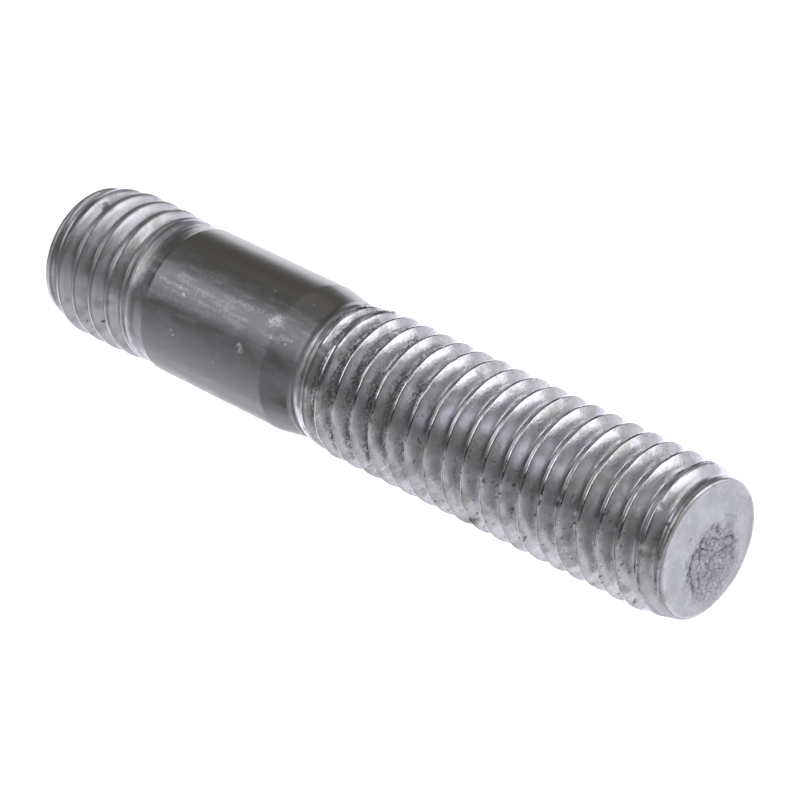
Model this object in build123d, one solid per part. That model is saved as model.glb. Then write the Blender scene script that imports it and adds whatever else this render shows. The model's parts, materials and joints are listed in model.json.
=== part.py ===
from build123d import *
import os
from math import atan2, ceil, cos, degrees

# Wheel stud: one rolled steel piece, with a right-hand thread at each end and a plain shank between.
# It stands on the face of its metal end, the short one that screws into the hub. +Z runs along
# the axis to the nut end. All lengths are in millimetres.

# ---- radii --------------------------------------------------------------------------------------
shank_radius = 4.9
metal_thread_radius = 5.0  # crests of the metal end, an interference thread
nut_thread_radius = 4.9  # crests of the nut end
metal_runout_radius = 4.74  # where the metal-end thread dies out, under the shoulder
neck_radius = 4.53  # the bare blank that the nut-end thread is rolled on
metal_face_radius = 4.35
nut_face_radius = 4.1

# ---- lengths along the axis, from the metal-end face up ---------------------------------------------
metal_edge_length = 0.25  # worn edge, steeper than the chamfer
metal_chamfer_length = 1.65
metal_full_crest_length = 3.2
metal_runout_length = 3.5
shoulder_length = 0.6
shank_length = 10.6
taper_length = 1.6
neck_length = 0.5
crest_rise_length = 2.8
nut_full_crest_length = 24.35
nut_chamfer_length = 2.05
nut_edge_length = 0.3

# ---- radii where the worn edges meet the chamfers ----------------------------------------------------
metal_edge_radius = 4.5
nut_edge_radius = 4.45

# ---- thread -------------------------------------------------------------------------------------
thread_pitch = 1.5
crest_width = 0.19  # flat left on each crest
groove_depth = 0.35  # a shallow form of the metric groove, which is 0.92 deep
runout_turns = 1.4  # turns over which a groove fades to nothing
metal_groove_length = 6.4  # full groove, from the metal-end face
nut_groove_length = 27.0  # full groove, from the nut-end face
metal_groove_turn = 171.0  # where round the axis each run-out starts, in degrees from +X
nut_groove_turn = 100.0

# ---- cutter that makes the groove ----------------------------------------------------------------------
flank_overrun = 0.03  # how far its flanks run past the crests
cutter_lip = 0.3  # how far its straight sides then stand out

# ---- worn hollow in the nut-end face, off the axis -----------------------------------------------------
hollow_radius = 1.9
hollow_depth = 0.18
hollow_x = 0.25
hollow_y = 1.0

# ---- heights worked out from the lengths ------------------------------------------------------------
metal_chamfer_top = metal_edge_length + metal_chamfer_length
metal_crest_top = metal_chamfer_top + metal_full_crest_length
shoulder_bottom = metal_crest_top + metal_runout_length
shank_bottom = shoulder_bottom + shoulder_length
shank_top = shank_bottom + shank_length
neck_bottom = shank_top + taper_length
neck_top = neck_bottom + neck_length
nut_crest_bottom = neck_top + crest_rise_length
nut_chamfer_bottom = nut_crest_bottom + nut_full_crest_length
nut_edge_bottom = nut_chamfer_bottom + nut_chamfer_length
total_length = nut_edge_bottom + nut_edge_length


def blank():
    """The turned body with its crests whole. Its outline is given as (radius, height)."""
    outline = [
        (0, 0),
        (metal_face_radius, 0),
        (metal_edge_radius, metal_edge_length),
        (metal_thread_radius, metal_chamfer_top),
        (metal_thread_radius, metal_crest_top),
        (metal_runout_radius, shoulder_bottom),
        (shank_radius, shank_bottom),
        (shank_radius, shank_top),
        (neck_radius, neck_bottom),
        (neck_radius, neck_top),
        (nut_thread_radius, nut_crest_bottom),
        (nut_thread_radius, nut_chamfer_bottom),
        (nut_edge_radius, nut_edge_bottom),
        (nut_face_radius, total_length),
        (0, total_length),
    ]
    section = make_face(Plane.XZ * Polyline(*outline, close=True))
    return revolve(section, Axis.Z)


def groove_section(crest_radius):
    """Section of the groove cutter: a V up to the crests, with a straight lip outside them."""
    groove_half_width = (thread_pitch - crest_width) / 2
    flank_slope = groove_half_width / groove_depth
    flank_radius = crest_radius + flank_overrun
    half_width = groove_half_width + flank_overrun * flank_slope
    lip_radius = flank_radius + cutter_lip
    outline = Polyline(
        (crest_radius - groove_depth, 0),
        (flank_radius, half_width),
        (lip_radius, half_width),
        (lip_radius, -half_width),
        (flank_radius, -half_width),
        close=True,
    )
    return make_face(Plane.XZ * outline)


def groove_turn(crest_radius):
    """Cutter for one turn at full depth. It climbs from the origin and starts on +X."""
    path = Helix(thread_pitch, thread_pitch, crest_radius - groove_depth)
    return sweep(groove_section(crest_radius), path=path, is_frenet=True)


def fading_groove(crest_radius):
    """Cutter for the run-out. It climbs from the origin and moves outward till it is clear of the body."""
    height = runout_turns * thread_pitch
    slope = atan2(groove_depth + flank_overrun, height)
    # the helix measures its pitch along the cone's side, so it is given the longer slanted pitch
    slanted_pitch = thread_pitch / cos(slope)
    path = Helix(slanted_pitch, height, crest_radius - groove_depth, cone_angle=degrees(slope))
    return sweep(groove_section(crest_radius), path=path, is_frenet=True)


def groove_cutters(crest_radius, groove_length, start, towards_face, towards_shank):
    """Cutters from the start, both ways along the axis: turns till past the end face, and the run-out."""
    turn = groove_turn(crest_radius)
    turns = ceil(groove_length / thread_pitch) + 1
    cutters = [start * towards_face * Pos(0, 0, i * thread_pitch) * turn for i in range(turns)]
    return cutters + [start * towards_shank * fading_groove(crest_radius)]


def metal_thread():
    """Cutters of the metal end's groove: down through its face, and fading up to the shoulder."""
    start = Pos(0, 0, metal_groove_length) * Rotation(0, 0, metal_groove_turn)
    return groove_cutters(metal_thread_radius, metal_groove_length, start, Rotation(180, 0, 0), Rotation())


def nut_thread():
    """Cutters of the nut end's groove: up through its face, and fading down to the neck."""
    start = Pos(0, 0, total_length - nut_groove_length) * Rotation(0, 0, nut_groove_turn)
    return groove_cutters(nut_thread_radius, nut_groove_length, start, Rotation(), Rotation(180, 0, 0))


def hollow():
    """Ball that leaves the shallow hollow in the nut-end face."""
    ball_radius = (hollow_radius**2 + hollow_depth**2) / (2 * hollow_depth)
    return Pos(hollow_x, hollow_y, total_length - hollow_depth + ball_radius) * Sphere(ball_radius)


def wheel_stud():
    body = blank()
    for cutter in metal_thread() + nut_thread():
        body = body - cutter
    return body - hollow()


os.makedirs("parts", exist_ok=True)
export_step(wheel_stud(), "parts/wheel_stud.step")
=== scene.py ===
"""Looks of the wheel stud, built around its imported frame.

The stud is one steel piece, so its look is one closed mesh that stands for the node wheel_stud. Its surface
is a radius given for each angle and height: a blank, two full-depth threads cut into it, and the dents and
pits of a used stud. The rows of the mesh follow the helix wherever there is thread. Lengths are in
millimetres until the mesh is made. Angles are in turns, measured from +X towards +Y, unless a comment says
that they are in degrees.
"""

import json
from math import ceil, cos, pi, radians, sin, tan
from types import SimpleNamespace

import bpy
import numpy as np
from mathutils import Matrix, Vector


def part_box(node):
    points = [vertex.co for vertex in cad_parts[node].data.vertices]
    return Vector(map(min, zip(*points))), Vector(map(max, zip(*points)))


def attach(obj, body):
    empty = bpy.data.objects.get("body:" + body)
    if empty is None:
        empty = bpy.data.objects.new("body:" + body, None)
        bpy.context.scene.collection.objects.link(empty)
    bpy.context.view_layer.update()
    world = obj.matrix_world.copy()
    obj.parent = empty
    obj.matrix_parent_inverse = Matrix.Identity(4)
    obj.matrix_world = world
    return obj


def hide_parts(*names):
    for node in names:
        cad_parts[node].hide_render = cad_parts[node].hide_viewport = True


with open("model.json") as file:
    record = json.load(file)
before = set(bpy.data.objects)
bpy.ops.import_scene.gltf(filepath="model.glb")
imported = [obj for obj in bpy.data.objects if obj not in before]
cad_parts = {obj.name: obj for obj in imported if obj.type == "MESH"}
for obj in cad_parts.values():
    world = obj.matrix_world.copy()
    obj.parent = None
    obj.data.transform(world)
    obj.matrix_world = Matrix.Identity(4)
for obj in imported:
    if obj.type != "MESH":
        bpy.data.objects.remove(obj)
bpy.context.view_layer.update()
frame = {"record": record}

MM = 0.001

# ---- sizes of the frame ----
low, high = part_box("wheel_stud")
mounts = {mount["name"]: mount for mount in frame["record"]["mounts"]}
total_length = (high.z - low.z) / MM
metal_thread_radius = mounts["metal_end_thread"]["dims"]["r_mm"]
shank_radius = mounts["shank"]["dims"]["r_mm"]
nut_thread_radius = mounts["nut_end_thread"]["dims"]["r_mm"]
shank_middle = mounts["shank"]["pos_m"][2] / MM
shank_half = mounts["shank"]["dims"]["length_mm"] / 2
shank_bottom = shank_middle - shank_half
shank_top = shank_middle + shank_half

# ---- the blank, as heights and radii; the rims beyond it are rounded by rim() ----
metal_rim_radius = 4.5
metal_rim_height = 0.25
metal_face_radius = 4.36
nut_rim_radius = 4.45
nut_rim_depth = 0.16
nut_face_radius = 4.16
rolled_rim_turn = -0.1  # where the nut end's rim is rolled over and wider
rolled_rim_reach = 0.08
rolled_rim_width = 0.5
nut_rim_bottom = total_length - nut_rim_depth
blank_outline = [
    (metal_rim_height, metal_rim_radius),
    (1.9, metal_thread_radius),
    (5.3, metal_thread_radius),
    (7.2, 4.88),
    (8.0, 4.75),
    (8.4, 4.71),
    (shank_bottom - 0.02, 4.84),
    (shank_bottom + 0.06, shank_radius),
    (shank_top - 0.05, shank_radius),
    (shank_top + 2.1, 4.53),
    (22.6, 4.64),
    (23.6, 4.82),
    (24.7, nut_thread_radius),
    (total_length - 2.35, nut_thread_radius),
    (nut_rim_bottom, nut_rim_radius),
]
corner_rounding = 0.06

# ---- threads ----
pitch = 1.5
flank_slope = 1.732  # rise of a 60 degree thread's flank for each millimetre along the axis
root_rounding = 0.266
crest_turn = -0.25  # where round the axis the height of a crest is given, on -Y
crest_margin = 0.005  # the paint of the crests goes this far past their flat
crest_fade = 0.055  # and has faded out this far past it
seam_half_width = 0.028  # the lap that rolling leaves along each crest, wider where the crest isn't full
seam_widening = 0.3
seam_depth = 0.03
seam_deepening = 0.2
seam_offset = 0.012
worn_side_turn = -0.02  # the middle of the side where the crests are worn round
worn_side_rounding = 0.09

metal_thread = SimpleNamespace(
    crest_radius=metal_thread_radius,
    crest_height=2.98,  # height of one of its crests at crest_turn
    flat_crest=0.32,  # width of the flat on each crest, which is worn wider than at the nut end
    crest_rounding=0.17,
    runout=[(6.2, 0.0), (7.2, 0.16), (7.9, 0.4), (8.5, 0.8)],  # heights, and how far the groove is lifted out
    start=[(0.1, 0.9), (0.45, 0.0)],  # the same at the end face, by the height of the groove's root
    rows_from=metal_rim_height,  # the rows of the mesh follow the helix from this height
    rows_to=8.7,
    row_offsets=[0.0, 0.06, 0.12, 0.17, 0.23, 0.38, 0.53, 0.66],  # their places on each side of a crest
    seed=11,  # of the wandering of its lap
)
nut_thread = SimpleNamespace(
    crest_radius=nut_thread_radius,
    crest_height=37.85,
    flat_crest=0.11,
    crest_rounding=0.035,
    runout=[(21.0, 1.0), (22.0, 0.75), (22.6, 0.42), (23.3, 0.2), (24.3, 0.07), (25.2, 0.0)],
    start=[(total_length - 0.5, 0.0), (total_length - 0.2, 0.9)],
    rows_from=shank_top + 2.2,
    rows_to=nut_rim_bottom,
    row_offsets=[0.0, 0.03, 0.058, 0.09, 0.24, 0.42, 0.56, 0.66],
    seed=21,
)

# ---- mesh ----
columns = 190
snap = 0.001  # places this close together count as one
snap_height = 0.03  # a row of the helix that comes this close to a closed row ends there


def smooth_step(start, end, value):
    """0 up to start, 1 from end on, and smooth between them."""
    t = np.clip((value - start) / (end - start), 0, 1)
    return t * t * (3 - 2 * t)


def smooth_min(a, b, width):
    """The lower of a and b, with the corner between them rounded over width."""
    overlap = np.clip(width - np.abs(a - b), 0, None) / width
    return np.minimum(a, b) - overlap**2 * width / 4


def turns_apart(turn, other):
    """The short way round from one angle to another, in turns from -0.5 to 0.5."""
    return (turn - other + 0.5) % 1.0 - 0.5


def near_turn(turn, other, reach):
    """1 at an angle, fading smoothly to 0 on both sides of it."""
    return np.exp(-((turns_apart(turn, other) / reach) ** 2))


def lattice_noise(turn, height, cells, step, seed):
    """Smooth noise from -1 to 1, with so many cells round the axis and one cell for each step of height."""
    rows = ceil(total_length / step) + 4
    table = np.random.default_rng(seed).uniform(-1, 1, (cells, rows))
    across = (turn % 1.0) * cells
    along = np.clip(height / step + 1, 0, rows - 2)
    i = np.floor(across).astype(int)
    k = np.floor(along).astype(int)
    s = smooth_step(0, 1, across - i)
    t = smooth_step(0, 1, along - k)
    i0 = i % cells
    i1 = (i + 1) % cells
    lower = table[i0, k] * (1 - s) + table[i1, k] * s
    upper = table[i0, k + 1] * (1 - s) + table[i1, k + 1] * s
    return lower * (1 - t) + upper * t


def blank_radius(height):
    """Radius of the blank, with its corners rounded by averaging over a short stretch."""
    heights, radii = zip(*blank_outline)
    offsets = np.linspace(-corner_rounding, corner_rounding, 5)
    return np.mean([np.interp(height + offset, heights, radii) for offset in offsets], axis=0)


def crest_offset(turn, height, thread):
    """Distance along the axis from the middle of the nearest crest."""
    along = height - thread.crest_height - pitch * (turn - crest_turn)
    return along - pitch * np.round(along / pitch)


def groove_depth(thread):
    """Depth of the groove, from the crests to the bottom of its round root."""
    return (pitch - thread.flat_crest) / 2 * flank_slope - root_rounding


def groove_radius(offset, thread):
    """Radius of an endless V groove with a round root, at a distance from the middle of a crest."""
    from_root = pitch / 2 - np.abs(offset)
    flank_edge = (pitch - thread.flat_crest) / 2
    root_radius = thread.crest_radius - groove_depth(thread)
    tangent = root_rounding * np.cos(pi / 6)
    arc = root_radius + root_rounding - np.sqrt(np.clip(root_rounding**2 - from_root**2, 0, None))
    flank = thread.crest_radius - (flank_edge - from_root) * flank_slope
    return np.where(from_root < tangent, arc, flank)


def seam(turn, height, offset, lift, seed):
    """Depth of the lap along the crest. It wanders a little, comes and goes, and opens up in the run-outs."""
    wander = 0.01 * lattice_noise(turn, height, 60, 0.8, seed)
    strength = 0.6 + 0.4 * lattice_noise(turn, height, 34, 1.1, seed + 1)
    strength = strength * (0.3 + 0.7 * smooth_step(34, 40, height)) + 1.3 * smooth_step(0.05, 0.3, lift)
    half_width = seam_half_width + seam_widening * np.clip(lift, 0, 0.4)
    depth = seam_depth * strength + seam_deepening * np.clip(lift, 0, 0.3)
    from_seam = offset - seam_offset - wander
    return depth * smooth_step(0.8, 0.5, lift) * np.exp(-((from_seam / half_width) ** 2))


def worn_side(turn):
    """1 on the side where the crests are worn round, and 0 elsewhere."""
    return smooth_step(0.16, 0.09, np.abs(turns_apart(turn, worn_side_turn)))


def threaded(turn, height, radius, thread):
    """The blank's radius with a thread pressed into it, how deep in the groove, and how near a crest."""
    offset = crest_offset(turn, height, thread)
    lift = np.interp(height, *zip(*thread.runout))
    root_height = height - offset + np.copysign(pitch / 2, offset)
    lift = np.maximum(lift, np.interp(root_height, *zip(*thread.start)))
    groove = groove_radius(offset, thread) + lift
    worn_round = worn_side(turn)
    cut = smooth_min(radius, groove, thread.crest_rounding + worn_side_rounding * worn_round)
    flat_edge = thread.flat_crest / 2
    crest = smooth_step(flat_edge + crest_fade, flat_edge + crest_margin, np.abs(offset))
    crest = crest * smooth_step(0.3, 0.1, lift) * (1 - worn_round)
    depth = np.clip((radius - cut) / groove_depth(thread), 0, 1)
    lap = seam(turn, height, offset, lift, thread.seed) * (1 - 0.7 * worn_round)
    return cut - lap, depth, crest


def side_surface(turn, height):
    """Radius of the stud's side at each angle and height, how deep in a groove and how near a crest it is."""
    radius = blank_radius(height)
    plain = (radius, np.zeros_like(radius), np.zeros_like(radius))
    metal = threaded(turn, height, radius, metal_thread)
    nut = threaded(turn, height, radius, nut_thread)
    at_metal_end = height < shank_bottom
    at_nut_end = height > shank_top + 0.5
    return [np.where(at_metal_end, a, np.where(at_nut_end, b, c)) for a, b, c in zip(metal, nut, plain)]


class Surface:
    """Collects the mesh: the turn, height and radius of each vertex, and the faces."""

    def __init__(self):
        self.turns = []
        self.heights = []
        self.radii = []
        self.faces = []

    def add(self, turns, heights, radii):
        """Adds vertices and returns their numbers."""
        start = len(self.turns)
        self.turns.extend(turns)
        self.heights.extend(heights)
        self.radii.extend(radii)
        return np.arange(start, len(self.turns))

    def ring(self, height, radius=None):
        """One closed row at a height. Without a radius it lies on the stud's side."""
        turns = np.arange(columns) / columns
        heights = np.full(columns, float(height))
        side = side_surface(turns, heights)[0]
        radii = side if radius is None else np.minimum(radius, side)
        return self.add(turns, heights, radii)

    def join(self, lower, upper):
        """Joins two closed rows with quads, facing outward."""
        for j in range(columns):
            k = (j + 1) % columns
            self.faces.append((lower[j], lower[k], upper[k], upper[j]))

    def cap(self, ring, height, upward):
        """Closes a small ring with a fan of triangles."""
        centre = self.add([0.0], [height], [0.0])[0]
        for j in range(columns):
            k = (j + 1) % columns
            self.faces.append((ring[j], ring[k], centre) if upward else (ring[k], ring[j], centre))

    def helical_rows(self, lower, upper, thread):
        """Fills the side between two rings with rows that follow the helix and end where they meet a ring."""
        bottom = thread.rows_from
        top = thread.rows_to
        offsets = sorted(thread.row_offsets + [-x for x in thread.row_offsets[1:]] + [pitch / 2])
        per_turn = len(offsets)
        first = int(np.floor((bottom - thread.crest_height) / pitch)) - 2
        last = int(np.ceil((top - thread.crest_height) / pitch)) + 2
        start = thread.crest_height - pitch * crest_turn
        rows = [start + turn * pitch + offset for turn in range(first, last) for offset in offsets]
        numbers = np.empty((len(rows), columns + 1), int)
        for j in range(columns):
            heights = np.array(rows) + pitch * j / columns
            inside = (heights > bottom + snap_height) & (heights < top - snap_height)
            turns = np.full(inside.sum(), j / columns)
            radii = side_surface(turns, heights[inside])[0]
            numbers[:, j] = np.where(heights <= bottom + snap_height, lower[j], upper[j])
            numbers[inside, j] = self.add(turns, heights[inside], radii)
        numbers[:-per_turn, columns] = numbers[per_turn:, 0]
        numbers[-per_turn:, columns] = upper[0]
        for i in range(len(rows) - 1):
            for j in range(columns):
                corners = (numbers[i, j], numbers[i, j + 1], numbers[i + 1, j + 1], numbers[i + 1, j])
                distinct = tuple(dict.fromkeys(corners))
                if len(distinct) > 2:
                    self.faces.append(distinct)


# ---- end faces ----
face_half_size = 6  # the noise of a face covers a square this far each way from the axis
face_ring_gap = 0.08
face_recess = 0.02  # the nut-end face lies this far down, so that most of its unevenness stays below the top
crater_x = 0.55
crater_y = 1.2
crater_radius = 2.75
crater_depth = 0.16
crater_low_share = 0.4  # share of that depth on its shallow side
torn_depth = 0.2  # a place this deep below its surroundings is painted fully dark, as painted shade
# scars torn in the nut-end face: the points that each runs through, its depth and its half width
scars = [
    ([(-0.5, -0.8), (0.1, -0.7), (0.7, -0.8), (1.3, -0.7), (1.7, -0.4)], 0.24, 0.1),
    ([(1.7, -0.4), (2.2, 0.4), (2.6, 1.0)], 0.1, 0.07),
    ([(-0.8, -1.0), (-1.1, -0.6), (-1.5, -0.5)], 0.07, 0.06),
    ([(-1.7, -0.1), (-1.4, 0.0), (-1.1, 0.5)], 0.12, 0.06),
    ([(-0.7, 0.2), (-0.8, 0.8), (-1.0, 1.3), (-1.3, 1.6), (-1.2, 2.5)], 0.12, 0.07),
    ([(-1.1, 2.4), (-0.7, 2.1), (-0.4, 1.7), (-0.2, 1.3), (0.3, 1.0), (0.8, 1.2)], 0.11, 0.07),
    ([(1.5, 0.5), (1.9, 1.0), (2.2, 1.3)], 0.1, 0.07),
    ([(0.1, 0.1), (0.0, -0.4), (0.4, -0.3), (0.6, -0.1)], 0.14, 0.08),
    ([(-0.6, -0.3), (-0.3, -0.3), (-0.2, 0.1)], 0.1, 0.07),
    ([(-0.2, 3.1), (-0.5, 2.5), (-0.8, 2.7)], 0.08, 0.07),
    ([(0.9, 1.8), (0.7, 2.0), (0.6, 2.7)], 0.07, 0.07),
    ([(0.7, 0.7), (1.0, 1.3), (1.5, 1.1)], 0.1, 0.07),
    ([(-2.3, 0.0), (-2.4, 0.7), (-2.5, 1.2)], 0.06, 0.06),
    ([(-3.7, 0.2), (-3.5, 0.7), (-3.6, 1.0)], 0.04, 0.06),
    ([(-3.3, -1.5), (-3.2, -1.4)], 0.04, 0.08),
    ([(-0.2, -2.2), (-0.1, -2.2)], 0.06, 0.07),
]


def plane_noise(x, y, cell, seed):
    """Smooth noise from -1 to 1 on a flat face, with cells of one size."""
    size = ceil(2 * face_half_size / cell) + 3
    table = np.random.default_rng(seed).uniform(-1, 1, (size, size))
    across = np.clip((x + face_half_size) / cell, 0, size - 2)
    along = np.clip((y + face_half_size) / cell, 0, size - 2)
    i = np.floor(across).astype(int)
    k = np.floor(along).astype(int)
    s = smooth_step(0, 1, across - i)
    t = smooth_step(0, 1, along - k)
    lower = table[i, k] * (1 - s) + table[i + 1, k] * s
    upper = table[i, k + 1] * (1 - s) + table[i + 1, k + 1] * s
    return lower * (1 - t) + upper * t


def distance_to_run(x, y, start, end):
    """Distance from each point to a straight run between two points."""
    run = np.subtract(end, start)
    share = np.clip(((x - start[0]) * run[0] + (y - start[1]) * run[1]) / (run @ run), 0, 1)
    return np.hypot(x - start[0] - share * run[0], y - start[1] - share * run[1])


def scar_depth(x, y):
    """Depth of the torn scars: narrow ragged valleys through their points."""
    total = np.zeros_like(x)
    ragged_x = x + 0.1 * plane_noise(x, y, 0.4, 61) + 0.09 * plane_noise(x, y, 0.18, 63)
    ragged_y = y + 0.1 * plane_noise(x, y, 0.4, 62) + 0.09 * plane_noise(x, y, 0.18, 64)
    for points, depth, half_width in scars:
        runs = [distance_to_run(ragged_x, ragged_y, *pair) for pair in zip(points, points[1:])]
        total = np.maximum(total, depth * np.exp(-((np.min(runs, axis=0) / half_width) ** 2)))
    return total


def crater(x, y):
    """How far inside the torn crater each point of the nut-end face is, from 0 to 1."""
    distance = np.hypot(x - crater_x, y - crater_y) + 0.4 * plane_noise(x, y, 0.9, 51)
    return smooth_step(crater_radius + 0.2, crater_radius - 0.9, distance)


def torn_relief(x, y):
    """Height of the torn surface in the crater, above and below its floor."""
    rough = 0.04 * plane_noise(x, y, 0.7, 52) + 0.03 * plane_noise(x, y, 0.32, 53)
    return rough + 0.06 * plane_noise(x, y, 0.17, 54)


def nut_face_height(x, y):
    """Height of the nut-end face: a smooth ring round a torn crater, which is deeper on one side."""
    inside = crater(x, y)
    floor = crater_depth * (crater_low_share + (1 - crater_low_share) * smooth_step(2.5, -0.5, y))
    uneven = 0.012 * plane_noise(x, y, 1.6, 55) + 0.004 * plane_noise(x, y, 0.5, 56)
    return total_length - face_recess + uneven + inside * (torn_relief(x, y) - floor) - scar_depth(x, y)


def nut_face_edge(turn):
    """Radius of the nut-end face's edge. It is a little ragged, and drawn in where the rim is rolled over."""
    rolled = near_turn(turn, rolled_rim_turn, rolled_rim_reach)
    level = np.zeros_like(turn)
    ragged = 0.03 * lattice_noise(turn, level, 40, 1.0, 57) + 0.02 * lattice_noise(turn, level, 95, 1.0, 58)
    return nut_face_radius - rolled_rim_width * rolled + ragged


def rim(face_radius, rim_radius, rim_depth, steps):
    """Rounded worn rim, as radii and distances in from the face: from the face's edge out to the side."""
    angles = np.linspace(0, pi / 2, steps)
    width = rim_radius - face_radius
    return [(face_radius + width * np.sin(angle), rim_depth * (1 - np.cos(angle))) for angle in angles]


def metal_end(surface):
    """The metal end's face and rim, from its middle out to the side. Returns its last ring."""
    radii = np.linspace(0.6, metal_face_radius, 12)
    ring = surface.ring(0.0, radii[0])
    surface.cap(ring, 0.0, upward=False)
    outline = [(radius, 0.0) for radius in radii[1:]]
    outline += rim(metal_face_radius, metal_rim_radius, metal_rim_height, 5)[1:]
    for radius, height in outline:
        following = surface.ring(height, radius)
        surface.join(ring, following)
        ring = following
    return ring


def nut_end(surface, ring):
    """The nut end's rim and face, from the side in to its middle."""
    edge = nut_face_edge(np.arange(columns) / columns)
    outline = rim(edge, nut_rim_radius, nut_rim_depth, 7)[::-1][1:]
    for radius, depth in outline:
        following = surface.ring(total_length - depth, radius)
        surface.join(ring, following)
        ring = following
    count = int(nut_face_radius / face_ring_gap)
    for share in np.linspace(1.0, 0.03, count)[1:]:
        following = surface.ring(total_length, share * edge)
        surface.join(ring, following)
        ring = following
    surface.cap(ring, total_length, upward=True)


def stud_surface():
    """The whole closed surface: an end, a thread, the shank, a thread and the other end."""
    surface = Surface()
    rim_ring = metal_end(surface)
    ring = surface.ring(metal_thread.rows_to)
    surface.helical_rows(rim_ring, ring, metal_thread)
    for height in shank_rows():
        following = surface.ring(height)
        surface.join(ring, following)
        ring = following
    rim_ring = surface.ring(nut_thread.rows_to)
    surface.helical_rows(ring, rim_ring, nut_thread)
    nut_end(surface, rim_ring)
    return surface


def shank_rows():
    """Heights of the rows between the threads: close together at the two edges of the shank."""
    shoulder = [shank_bottom + step for step in (-0.35, -0.2, -0.1, -0.05, 0.0, 0.05, 0.1, 0.2, 0.35)]
    plain = np.linspace(shank_bottom + 0.6, shank_top - 0.6, 15)
    edge = [shank_top + step for step in (-0.35, -0.2, -0.12, -0.05, 0.02, 0.1, 0.2)]
    taper = np.linspace(shank_top + 0.4, nut_thread.rows_from - 0.15, 11)
    return [*shoulder, *plain, *edge, *taper]


# ---- wear of the side ----
rubbed_and_lit_turn = 0.9  # the middle of the shank's rubbed side, whose scuffs are real and also paint the lower side lighter, as painted light
dust_and_sheen_turn = 0.73  # where a pale streak runs along it, on the line of its highlight: dust, and partly painted sheen
tarnished_turn = 0.77  # the middle of the threads' most tarnished side
pitted_turn = -0.12  # the middle of the side where the nut end is pitted
dark_bottom = 7.8  # where the dark of the shank begins, over the last groove of the metal end
dark_top = 22.8  # where it ends, by the first groove of the nut end
pit_count = 420
dent_count = 90


def hollow_shape(turn, height, radius, centre_turn, centre_height, size):
    """1 in the middle of a small round hollow in the side, fading smoothly to 0 round it."""
    across = turns_apart(turn, centre_turn) * 2 * pi * radius
    return np.exp(-((across / size) ** 2 + ((height - centre_height) / size) ** 2))


def pits(turn, height, radius, draw):
    """Depth of the small pits. More than half of them lie on the pitted side, and most at the nut end."""
    total = np.zeros_like(turn)
    for _ in range(pit_count):
        centre_turn = draw.uniform(0, 1) if draw.uniform() < 0.5 else draw.uniform(-0.22, 0.0)
        centre_height = draw.uniform(22.5, total_length - 1) if draw.uniform() < 0.85 else draw.uniform(1, 9)
        size = draw.uniform(0.09, 0.2)
        depth = draw.uniform(0.02, 0.06)
        total = total + depth * hollow_shape(turn, height, radius, centre_turn, centre_height, size)
    return total


def dents(turn, height, radius, depth_in_thread, draw):
    """Depth of the shallow dents, which are knocked into the crests and don't reach into the grooves."""
    total = np.zeros_like(turn)
    for _ in range(dent_count):
        centre_turn = draw.uniform(0, 1)
        centre_height = draw.uniform(1, total_length - 1)
        size = draw.uniform(0.25, 0.5)
        depth = draw.uniform(0.02, 0.05)
        total = total + depth * hollow_shape(turn, height, radius, centre_turn, centre_height, size)
    return total * (1 - np.clip(depth_in_thread * 3, 0, 1))


def worn(turn, height, radius, depth_in_thread):
    """How far the threads are worn in: unevenness, a torn first crest, pits, and dents on the crests."""
    uneven = 0.006 * lattice_noise(turn, height, 34, 0.9, 71)
    uneven = uneven + 0.005 * lattice_noise(turn, height, 90, 0.4, 72)
    wear = uneven * (0.5 + 0.5 * smooth_step(0.0, 0.3, depth_in_thread))
    torn = smooth_step(22.6, 23.0, height) * smooth_step(24.6, 24.1, height)
    wear = wear + torn * 0.022 * (1 + lattice_noise(turn, height, 95, 0.3, 73))
    draw = np.random.default_rng(75)
    wear = wear + pits(turn, height, radius, draw)
    wear = wear + dents(turn, height, radius, depth_in_thread, draw)
    plain = smooth_step(shank_bottom - 0.5, shank_bottom, height) * smooth_step(22.4, 22.0, height)
    return wear * (1 - plain)


def grime(turn, height, depth_in_thread):
    """Where dirt fills the grooves: less and less from the neck up, by the shoulder, and here and there."""
    deep = smooth_step(0.3, 0.8, depth_in_thread)
    patches = 0.5 + 0.5 * lattice_noise(turn, height, 14, 2.5, 91)
    near_neck = smooth_step(34.0, 27.0, height) * smooth_step(22.0, 23.0, height)
    near_shoulder = 0.5 * smooth_step(6.5, 7.6, height) * smooth_step(9.2, 8.8, height)
    anywhere = 0.35 * smooth_step(0.5, 0.9, patches)
    return deep * np.clip(near_neck * (0.4 + patches) + near_shoulder + anywhere, 0, 1)


def dark_shank(turn, height, crest):
    """Where the side is dark and oily: from the shoulder to the neck, and in part the metal end's crests. On
    the shoulder its upper side is darker still, as painted shade.
    """
    ragged = lattice_noise(turn, height, 50, 0.5, 81)
    # the upper side, where the shoulder is painted darker as painted shade
    shaded_upper_side = smooth_step(0.3, 0.5, turn) * smooth_step(0.95, 0.75, turn)
    dark = smooth_step(shank_bottom - 0.05, shank_bottom + 0.1, height + 0.05 * ragged)
    on_shoulder = smooth_step(dark_bottom, dark_bottom + 0.5, height + 0.1 * ragged)
    dark = np.maximum(dark, (0.62 + 0.3 * shaded_upper_side) * on_shoulder)
    dark = np.maximum(dark, 0.5 * crest * smooth_step(9.0, 8.0, height))
    return dark * smooth_step(dark_top, dark_top - 0.6, height + 0.25 * ragged)


def pitted(turn, height):
    """Where the side is pitted and flecked: mostly along one side of the nut end."""
    apart = np.abs(turns_apart(turn, pitted_turn))
    return 0.12 + 0.88 * smooth_step(0.17, 0.08, apart) * smooth_step(26, 33, height)


def dulled(height):
    """Where the side is dull: all of the metal end, and the chamfer of the nut end."""
    near_nut_face = smooth_step(total_length - 2.6, total_length - 1.0, height)
    return np.maximum(0.8 * smooth_step(10.0, 8.0, height), 0.55 * near_nut_face)


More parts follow.
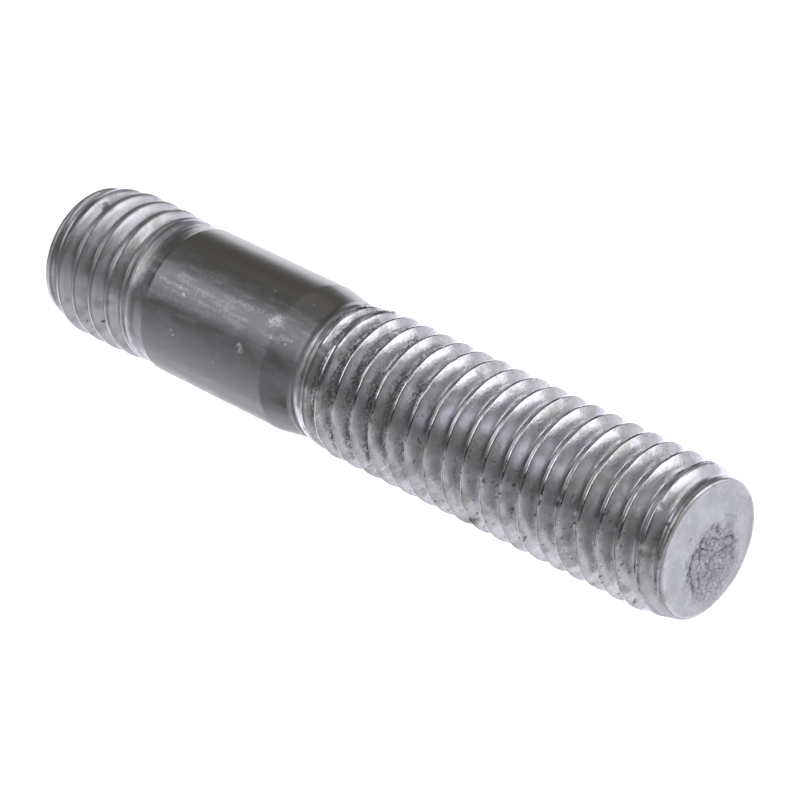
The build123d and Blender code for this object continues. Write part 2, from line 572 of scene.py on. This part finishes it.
def paint(mesh, name, values):
    """Stores one number for each vertex, for the material to read."""
    attribute = mesh.attributes.new(name, "FLOAT", "POINT")
    attribute.data.foreach_set("value", np.asarray(values, np.float32))


def stud_mesh():
    """The worn surface as a mesh, with the numbers painted on it that the material reads."""
    surface = stud_surface()
    turn = np.array(surface.turns)
    height = np.array(surface.heights)
    radius = np.array(surface.radii)
    side, depth_in_thread, crest = side_surface(turn, height)
    on_side = radius > side - snap
    face_share = radius / nut_face_edge(turn)
    on_nut_face = (height > total_length - snap) & (face_share < 1 + snap)
    face_height = nut_face_height(radius * np.cos(2 * pi * turn), radius * np.sin(2 * pi * turn))
    face_drop = (face_height - total_length) * smooth_step(1.0, 0.94, face_share)
    wear = np.where(on_side, worn(turn, height, radius, depth_in_thread), 0.0)
    height = np.where(on_nut_face, total_length + face_drop, height)
    radius = radius - wear
    x = radius * np.cos(2 * pi * turn)
    y = radius * np.sin(2 * pi * turn)
    mesh = bpy.data.meshes.new("wheel_stud_surface")
    points = np.stack([x, y, height], axis=1) * MM
    mesh.from_pydata(points.tolist(), [], [tuple(map(int, face)) for face in surface.faces])
    mesh.polygons.foreach_set("use_smooth", [True] * len(mesh.polygons))

    on_metal_face = (height < snap) & (radius < metal_face_radius + snap)
    torn_face = crater(x, y) * on_nut_face
    # the crevice paint darkens the nut-end face by how deep its scars and low spots lie, as painted shade
    low_spots = scar_depth(x, y) / torn_depth + torn_face * np.clip(-torn_relief(x, y) / torn_depth, 0, 0.4)
    paint(mesh, "dark_shank", np.where(on_side, dark_shank(turn, height, crest), 0.0))
    paint(mesh, "grime", np.where(on_side, grime(turn, height, depth_in_thread), 0.0))
    paint(mesh, "crest", np.where(on_side, crest, 0.0))
    paint(mesh, "torn_face", torn_face)
    paint(mesh, "crevice_shade", np.where(on_nut_face, np.clip(low_spots, 0, 1), 0.0))
    paint(mesh, "end_face", np.where(on_nut_face | on_metal_face, 1.0, 0.0))
    paint(mesh, "pitted", pitted(turn, height))
    paint(mesh, "dulled", dulled(height))
    # rubbed side: scuffs there, and painted light that makes the shank's lower side lighter
    paint(mesh, "rubbed_and_lit", smooth_step(0.28, 0.15, np.abs(turns_apart(turn, rubbed_and_lit_turn))))
    paint(mesh, "tarnished", near_turn(turn, tarnished_turn, 0.07))
    # pale specks along the shank's highlight band: dust, and painted sheen where the highlight falls
    paint(mesh, "dust_and_sheen", near_turn(turn, dust_and_sheen_turn, 0.05))
    mesh.validate()
    return mesh


# ---- material ----
class Shading:
    """The node tree of one material, with short ways to add the nodes that it needs."""

    def __init__(self, name):
        self.material = bpy.data.materials.new(name)
        self.material.use_nodes = True
        self.tree = self.material.node_tree
        self.shader = self.tree.nodes["Principled BSDF"]
        position = self.tree.nodes.new("ShaderNodeTexCoord").outputs["Object"]
        self.millimetres = self.vector("MULTIPLY", position, (1 / MM, 1 / MM, 1 / MM))

    def put(self, socket, value):
        """Links a node's output to a socket, or sets the socket to a plain value."""
        if isinstance(value, bpy.types.NodeSocket):
            self.tree.links.new(value, socket)
        else:
            socket.default_value = value

    def vector(self, operation, a, b):
        node = self.tree.nodes.new("ShaderNodeVectorMath")
        node.operation = operation
        self.put(node.inputs[0], a)
        self.put(node.inputs[1], b)
        return node.outputs["Value" if operation == "DISTANCE" else "Vector"]

    def math(self, operation, a, b):
        node = self.tree.nodes.new("ShaderNodeMath")
        node.operation = operation
        self.put(node.inputs[0], a)
        self.put(node.inputs[1], b)
        return node.outputs["Value"]

    def painted(self, name):
        """One of the numbers stored on the mesh."""
        node = self.tree.nodes.new("ShaderNodeAttribute")
        node.attribute_name = name
        return node.outputs["Fac"]

    def noise(self, per_millimetre, detail=2.0, stretch=(1, 1, 1), roughness=0.5):
        """Noise with so many cells in a millimetre, and fewer or more along an axis."""
        node = self.tree.nodes.new("ShaderNodeTexNoise")
        self.put(node.inputs["Vector"], self.vector("MULTIPLY", self.millimetres, stretch))
        node.inputs["Scale"].default_value = per_millimetre
        node.inputs["Detail"].default_value = detail
        node.inputs["Roughness"].default_value = roughness
        return node.outputs["Fac"]

    def ramp(self, value, start, end, low=0.0, high=1.0):
        """Takes start..end of a value to low..high, smoothly, and holds it there outside."""
        node = self.tree.nodes.new("ShaderNodeMapRange")
        node.interpolation_type = "SMOOTHSTEP"
        for socket, number in zip(node.inputs, (value, start, end, low, high)):
            self.put(socket, number)
        return node.outputs["Result"]

    def mix(self, share, a, b):
        """Mixes two colours."""
        node = self.tree.nodes.new("ShaderNodeMix")
        node.data_type = "RGBA"
        self.put(node.inputs[0], share)
        self.put(node.inputs[6], a)
        self.put(node.inputs[7], b)
        return node.outputs[2]

    def blend(self, share, a, b):
        """Mixes two numbers."""
        node = self.tree.nodes.new("ShaderNodeMix")
        self.put(node.inputs[0], share)
        self.put(node.inputs[2], a)
        self.put(node.inputs[3], b)
        return node.outputs[0]

    def spots(self, places, raggedness):
        """1 at each place and 0 away from it. The higher its raggedness, the further in its edge lies."""
        total = 0.0
        for height, degrees, size in places:
            inner = 1.3 * size
            outer = 2.4 * size
            radius = float(side_surface(np.array([degrees / 360]), np.array([height]))[0][0])
            point = (radius * cos(radians(degrees)), radius * sin(radians(degrees)), height)
            apart = self.vector("DISTANCE", self.millimetres, point)
            apart = self.math("ADD", apart, self.math("MULTIPLY", raggedness, outer))
            total = self.math("MAXIMUM", total, self.ramp(apart, outer, inner))
        return total

    def bump(self, height, distance):
        """A bump as high as distance, in millimetres."""
        node = self.tree.nodes.new("ShaderNodeBump")
        node.inputs["Distance"].default_value = distance * MM
        self.put(node.inputs["Height"], height)
        return node.outputs["Normal"]


bare_steel = (0.78, 0.775, 0.83, 1)
dull_steel = (0.57, 0.57, 0.55, 1)
oiled_steel = (0.165, 0.155, 0.128, 1)
# lighter steel of the scuffs, which also paints the shank's lower side lighter, as painted light
scuffed_and_lit_steel = (0.225, 0.225, 0.235, 1)
face_steel = (0.9, 0.9, 1.0, 1)
dull_face_steel = (0.74, 0.74, 0.8, 1)
# the dark of the painted shade in the face's scars and low spots, and of the grit specks in the torn crater
crevice_shade_and_grit = (0.12, 0.12, 0.12, 1)
groove_dirt = (0.14, 0.13, 0.1, 1)
pit_dirt = (0.1, 0.085, 0.07, 1)
rust = (0.17, 0.105, 0.06, 1)
# pale colour of the scratches and of the dust, which along the highlight band is painted sheen
pale_scuff_and_sheen = (0.85, 0.85, 0.88, 1)

# spots of each kind, as heights, degrees from +X, and radii in millimetres
rust_spots = [
    (1.9, -132, 0.4),
    (5.3, -106, 0.32),
    (5.0, -143, 0.25),
    (5.2, -33, 0.2),
    (3.6, -26, 0.12),
    (9.0, -67, 0.12),
    (36.6, -18, 0.6),
    (36.4, -14, 0.4),
    (38.1, -64, 0.2),
    (40.0, -47, 0.15),
    (41.6, -50, 0.18),
    (50.4, -80, 0.2),
    (50.6, -95, 0.2),
]
pale_scuffs = [
    (11.95, -62, 0.12),
    (12.15, -59, 0.1),
    (17.6, -75, 0.2),
    (17.8, -72, 0.25),
    (15.7, -53, 0.08),
    (12.1, -90, 0.18),
    (11.6, -94, 0.12),
    (19.5, -104, 0.5),
    (19.2, -101, 0.35),
    (19.7, -90, 0.12),
    (20.8, -90, 0.1),
    (17.8, -124, 0.08),
    (20.7, -129, 0.07),
    (18.7, -65, 0.1),
]
relief_height = 0.03


def steel_noise(s):
    """Noise of several sizes. Rolled is drawn out round the axis, and drawn is drawn out along it."""
    return SimpleNamespace(
        clouds=s.noise(0.8, 3.0),
        grain=s.noise(5.0, 3.0, roughness=0.6),
        grit=s.noise(6.0, 2.0),
        fine=s.noise(14.0, 2.0),
        rolled=s.noise(1.5, 3.0, stretch=(0.6, 0.6, 5.0)),
        drawn=s.noise(3.0, 0.0, stretch=(1.0, 1.0, 0.2)),
    )


def thread_look(s, noise):
    """Bright satin steel, with dull patches, shiny crests, dirt in the grooves, dark pits and rust."""
    grimy = s.ramp(s.math("ADD", noise.rolled, noise.grit), 0.9, 1.15, 0.05, 1.0)
    darkening = s.math("MULTIPLY", s.painted("grime"), grimy)
    pits = s.math("MULTIPLY", s.ramp(s.noise(2.2, 4.0, roughness=0.72), 0.6, 0.67), s.painted("pitted"))
    rusty = s.spots(rust_spots, noise.grain)
    tarnish = s.math("ADD", noise.clouds, s.math("MULTIPLY", s.painted("tarnished"), 0.09))
    dull = s.math("MULTIPLY", s.ramp(tarnish, 0.49, 0.65), s.ramp(noise.grain, 0.3, 0.65, 0.35, 1.0))
    covered = s.math("MAXIMUM", darkening, s.math("MAXIMUM", pits, rusty))

    colour = s.mix(dull, bare_steel, dull_steel)
    colour = s.mix(darkening, colour, groove_dirt)
    colour = s.mix(pits, colour, pit_dirt)
    colour = s.mix(s.math("MULTIPLY", rusty, 0.85), colour, rust)

    roughness = s.blend(s.painted("tarnished"), s.ramp(noise.grain, 0.3, 0.7, 0.24, 0.32), 0.35)
    roughness = s.blend(dull, roughness, 0.46)
    roughness = s.blend(s.painted("crest"), roughness, 0.2)
    roughness = s.blend(s.painted("dulled"), roughness, 0.45)
    roughness = s.blend(s.math("MAXIMUM", darkening, rusty), roughness, 0.7)

    relief = s.math("ADD", s.math("MULTIPLY", noise.grain, 0.35), s.math("MULTIPLY", noise.rolled, 0.25))
    return SimpleNamespace(
        colour=colour,
        roughness=roughness,
        relief=relief,
        metal=s.blend(dull, 0.97, 0.85),
        bare=s.ramp(covered, 0.0, 1.0, 1.0, 0.1),
    )


def face_look(s, noise):
    """Pale dull steel, with painted shade in the scars and low spots of the torn crater, and dark grit
    specks.
    """
    patches = s.ramp(s.math("ADD", noise.clouds, noise.grain), 0.8, 1.15)
    gritty = s.math("MULTIPLY", s.ramp(noise.grit, 0.47, 0.36, 0.0, 0.5), s.painted("torn_face"))
    # painted shade in the face's scars and low spots, and dark grit specks
    darkening = s.math("MAXIMUM", s.painted("crevice_shade"), gritty)
    torn = s.math("MULTIPLY", s.math("ADD", noise.grain, noise.fine), 3.5)
    return SimpleNamespace(
        colour=s.mix(darkening, s.mix(patches, face_steel, dull_face_steel), crevice_shade_and_grit),
        roughness=0.55,
        relief=s.blend(s.painted("torn_face"), s.math("MULTIPLY", noise.clouds, 0.3), torn),
        metal=0.4,
    )


def shank_look(s, noise):
    """A dark oily layer over the steel, with grey scuff marks, which also paint its lower side lighter as
    painted light, and with pale scratches and a pale dusting, which along the highlight is partly painted
    sheen.
    """
    streaks = s.math("MULTIPLY", s.math("ADD", noise.drawn, noise.grit), 0.5)
    # lighter scuffs only on the lower side: real scuffs, and partly painted light on that side
    lit_scuffs = s.math("MULTIPLY", s.ramp(s.math("ADD", noise.clouds, streaks), 0.82, 1.18), s.painted("rubbed_and_lit"))
    # pale specks along the highlight band: dust, and partly painted sheen
    sheen_dust = s.ramp(s.math("ADD", noise.grit, noise.drawn), 0.95, 1.3, 0.0, 0.45)
    pale = s.math("MAXIMUM", s.spots(pale_scuffs, noise.grit), s.math("MULTIPLY", sheen_dust, s.painted("dust_and_sheen")))
    rough = s.math("MAXIMUM", pale, s.math("MULTIPLY", lit_scuffs, 0.5))
    return SimpleNamespace(
        colour=s.mix(pale, s.mix(lit_scuffs, oiled_steel, scuffed_and_lit_steel), pale_scuff_and_sheen),
        roughness=s.blend(rough, 0.31, 0.5),
        relief=s.math("ADD", s.math("MULTIPLY", noise.clouds, 0.6), s.math("MULTIPLY", noise.grain, 0.08)),
        metal=s.math("MULTIPLY", pale, 0.85),
    )


def steel_material():
    """Rolled steel in three looks, which run into each other where the mesh is painted so."""
    s = Shading("rolled_steel")
    noise = steel_noise(s)
    thread = thread_look(s, noise)
    face = face_look(s, noise)
    shank = shank_look(s, noise)
    on_face = s.painted("end_face")
    on_shank = s.painted("dark_shank")
    colour = s.mix(on_shank, s.mix(on_face, thread.colour, face.colour), shank.colour)
    roughness = s.blend(on_shank, s.blend(on_face, thread.roughness, face.roughness), shank.roughness)
    relief = s.blend(on_shank, s.blend(on_face, thread.relief, face.relief), shank.relief)
    metal = s.math("MULTIPLY", s.blend(on_face, thread.metal, face.metal), thread.bare)
    s.put(s.shader.inputs["Base Color"], colour)
    s.put(s.shader.inputs["Metallic"], s.blend(on_shank, metal, shank.metal))
    s.put(s.shader.inputs["Roughness"], roughness)
    s.put(s.shader.inputs["Normal"], s.bump(relief, relief_height))
    s.put(s.shader.inputs["IOR"], 2.6)
    s.put(s.shader.inputs["Specular Tint"], (0.85, 0.86, 1.0, 1))
    return s.material


# ---- camera, lights and floor ----
aim = Vector((-0.03, -1.0, 27.76)) * MM
camera_distance = 252.84 * MM
camera_right = Vector((-0.4376, 0.5209, 0.7330)).normalized()
camera_back = Vector((0.0, -0.8152, 0.5793)).normalized()
camera_up = camera_back.cross(camera_right)
lens_length = 186.36
light_distance = 0.5  # in metres, as the floor's radius is
floor_radius = 3.0


def add_camera():
    data = bpy.data.cameras.new("camera")
    data.lens = lens_length
    data.sensor_width = 36.0
    data.clip_start = 0.01
    camera = bpy.data.objects.new("camera", data)
    axes = Matrix((camera_right, camera_up, camera_back)).transposed().to_4x4()
    camera.matrix_world = Matrix.Translation(aim + camera_back * camera_distance) @ axes
    bpy.context.scene.collection.objects.link(camera)
    bpy.context.scene.camera = camera


# name, direction in the camera's axes (right, up, back towards the camera), width and height in degrees,
# and brightness
softboxes = [
    ("back_high", (0.1, 0.47, -0.88), 45, 30, 2.05),
    ("back_middle", (0.0, -0.05, -1.0), 45, 30, 2.4),
    ("back_low", (0.1, -0.53, -0.85), 45, 30, 0.8),
    ("back_left", (-0.5, -0.25, -0.83), 25, 45, 1.1),
    ("back_right", (0.55, -0.05, -0.83), 25, 45, 1.7),
    ("right_high", (0.72, 0.45, 0.53), 30, 30, 1.7),
    ("right_middle", (0.95, 0.25, 0.15), 35, 30, 1.6),
    ("right_low", (0.8, -0.35, 0.49), 30, 30, 0.6),
    ("right_rear", (0.8, 0.2, -0.57), 35, 30, 0.78),
    ("right_rear_low", (0.84, -0.38, -0.4), 35, 30, 1.1),
    ("left_high", (-0.77, 0.52, 0.38), 36, 36, 1.4),
    ("left_low", (-0.8, -0.35, -0.49), 35, 35, 0.95),
    ("left_side", (-0.97, -0.19, -0.12), 30, 30, 0.45),
    ("left_front_low", (-0.8, -0.5, 0.3), 35, 35, 0.4),
    ("top", (0.0, 1.0, 0.0), 30, 30, 0.25),
    ("top_right", (0.5, 0.85, 0.1), 30, 30, 0.4),
    ("top_left", (-0.45, 0.8, 0.4), 30, 30, 0.55),
    ("front_high", (0.4, 0.46, 0.79), 25, 25, 1.4),
    ("below_front", (-0.05, -0.75, 0.66), 45, 35, 0.65),
    ("below_right", (0.52, -0.74, 0.42), 30, 30, 0.45),
    ("below", (0.2, -0.98, 0.0), 60, 35, 0.55),
    ("below_rear", (-0.3, -0.8, -0.5), 35, 35, 0.85),
    ("below_right_rear", (0.42, -0.76, -0.5), 35, 35, 0.7),
]


def softbox(name, right, up, back, width, height, brightness):
    """A soft rectangular light that looks at the stud from a direction given in the camera's own axes.

    Its width and height are the angles in degrees that it fills, as seen from the stud.
    """
    direction = (camera_right * right + camera_up * up + camera_back * back).normalized()
    data = bpy.data.lights.new(name, "AREA")
    data.shape = "RECTANGLE"
    data.size = 2 * light_distance * tan(radians(width / 2))
    data.size_y = 2 * light_distance * tan(radians(height / 2))
    data.energy = brightness * pi * data.size * data.size_y
    light = bpy.data.objects.new(name, data)
    light.location = aim + direction * light_distance
    across = camera_up.cross(direction)
    if across.length < 0.3:
        across = camera_right
    across.normalize()
    axes = Matrix((across, direction.cross(across), direction)).transposed().to_4x4()
    light.matrix_world = Matrix.Translation(light.location) @ axes
    light.visible_camera = False
    bpy.context.scene.collection.objects.link(light)


def add_lights():
    """A light tent of soft boxes: bright behind, on the right and upper left, and weak elsewhere."""
    for name, direction, width, height, brightness in softboxes:
        softbox(name, *direction, width, height, brightness)


def add_floor():
    """A pale floor. It hides nothing from the lights, so that the tent is the same all round the stud."""
    bpy.ops.mesh.primitive_circle_add(vertices=96, radius=floor_radius, fill_type="NGON")
    floor = bpy.context.object
    floor.name = "floor"
    floor.visible_diffuse = False
    floor.visible_glossy = False
    floor.visible_shadow = False
    material = bpy.data.materials.new("pale_floor")
    material.use_nodes = True
    shader = material.node_tree.nodes["Principled BSDF"]
    shader.inputs["Base Color"].default_value = (0.8, 0.8, 0.8, 1)
    shader.inputs["Roughness"].default_value = 0.9
    shader.inputs["Emission Color"].default_value = (1, 1, 1, 1)
    shader.inputs["Emission Strength"].default_value = 1.0
    floor.data.materials.append(material)


def add_world():
    """A white background, which gives no light of its own."""
    world = bpy.data.worlds.new("world")
    bpy.context.scene.world = world
    world.use_nodes = True
    background = world.node_tree.nodes["Background"]
    background.inputs["Color"].default_value = (1, 1, 1, 1)
    background.inputs["Strength"].default_value = 1.0
    world.cycles_visibility.diffuse = False
    world.cycles_visibility.glossy = False


def add_stud():
    stud = bpy.data.objects.new("wheel_stud_looks", stud_mesh())
    bpy.context.scene.collection.objects.link(stud)
    stud.data.materials.append(steel_material())
    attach(stud, "root")
    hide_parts("wheel_stud")
    return stud


add_stud()
add_floor()
add_world()
add_lights()
add_camera()
bpy.context.scene.view_settings.view_transform = "Standard"
